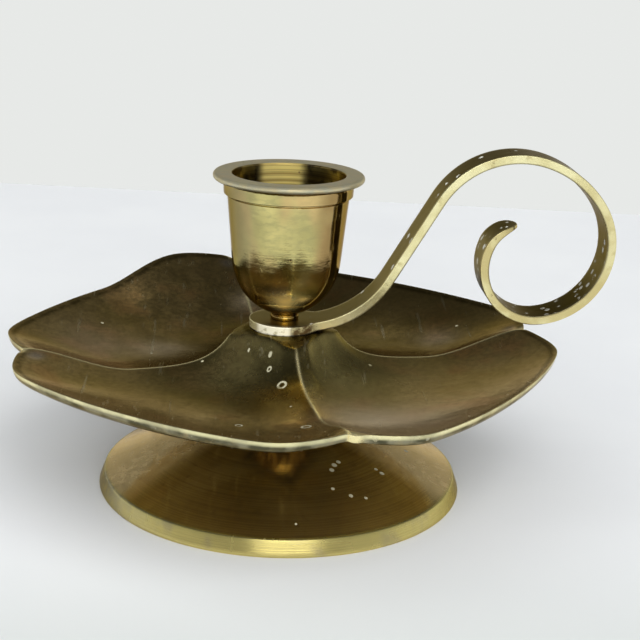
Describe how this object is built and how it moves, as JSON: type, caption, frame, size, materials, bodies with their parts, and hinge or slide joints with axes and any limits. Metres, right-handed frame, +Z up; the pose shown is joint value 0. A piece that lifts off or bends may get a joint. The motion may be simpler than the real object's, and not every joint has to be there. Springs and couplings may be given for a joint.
{
  "type": "chamber candlestick",
  "caption": "Low brass chamber candlestick: flanged candle cup on a petal-shaped drip pan and round trumpet foot, with a scrolled strap handle for one finger.",
  "frame": {"origin": "centre of the foot's resting plane", "axes": "+Z up out of the candle socket, +X towards the handle, +Y to the left of the handle seen from above with the handle pointing away from the viewer"},
  "size_m": [0.1195, 0.1096, 0.0694],
  "materials": {
    "cup_brass": "polished, lightly tarnished and scratched",
    "handle_brass": "polished edges, brown tarnish on the wide faces",
    "pan_brass": "olive-brown tarnish, worn bright along the rim and crests",
    "foot_brass": "brown tarnish with turning lines, brighter rim band",
    "plated_steel": "dull zinc plating"
  },
  "bodies": {
    "root": {"candle_cup": "cup_brass", "handle": "handle_brass", "drip_pan": "pan_brass", "foot": "foot_brass", "tie_screw": "plated_steel", "washer": "plated_steel"}
  },
  "joints": []
}
